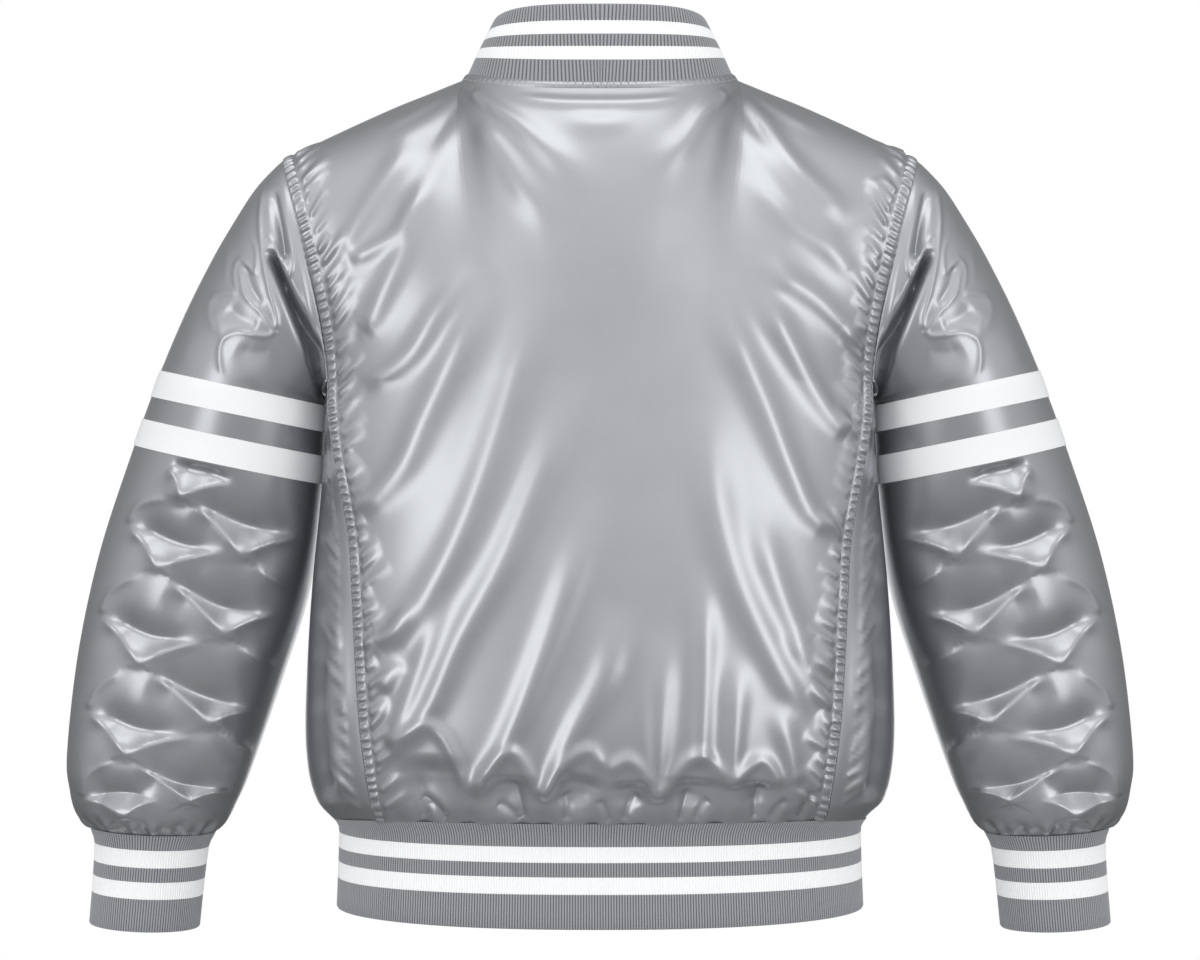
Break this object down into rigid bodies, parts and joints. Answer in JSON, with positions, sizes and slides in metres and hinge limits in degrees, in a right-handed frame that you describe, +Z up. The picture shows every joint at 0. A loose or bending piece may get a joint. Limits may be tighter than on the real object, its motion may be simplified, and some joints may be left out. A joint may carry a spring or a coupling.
{
  "type": "satin jacket",
  "caption": "Satin jacket with rib-knit collar, cuffs and hem and banded sleeves, filled out as worn and hollow inside.",
  "frame": {"origin": "middle of the neck base, between the neck ends of the two shoulder seams", "axes": "+Z up, +Y the way the wearer faces, +X towards the wearer's right sleeve"},
  "size_m": [0.8628, 0.2734, 0.7331],
  "materials": {
    "silver_satin": "satin",
    "grey_rib_knit": "matte",
    "white_stripe_cloth": "matte",
    "nickel_snap": "polished"
  },
  "bodies": {
    "root": {"back_panel": "silver_satin", "front_left": "silver_satin", "front_right": "silver_satin", "sleeve_left": "silver_satin", "sleeve_right": "silver_satin", "neck_binding": "silver_satin", "collar_rib": "grey_rib_knit", "hem_rib": "grey_rib_knit", "cuff_left": "grey_rib_knit", "cuff_right": "grey_rib_knit", "sleeve_stripe_upper_left": "white_stripe_cloth", "sleeve_stripe_lower_left": "white_stripe_cloth", "sleeve_stripe_upper_right": "white_stripe_cloth", "sleeve_stripe_lower_right": "white_stripe_cloth", "snap_1": "nickel_snap", "snap_2": "nickel_snap", "snap_3": "nickel_snap", "snap_4": "nickel_snap", "snap_5": "nickel_snap", "snap_hem": "nickel_snap"}
  },
  "joints": []
}
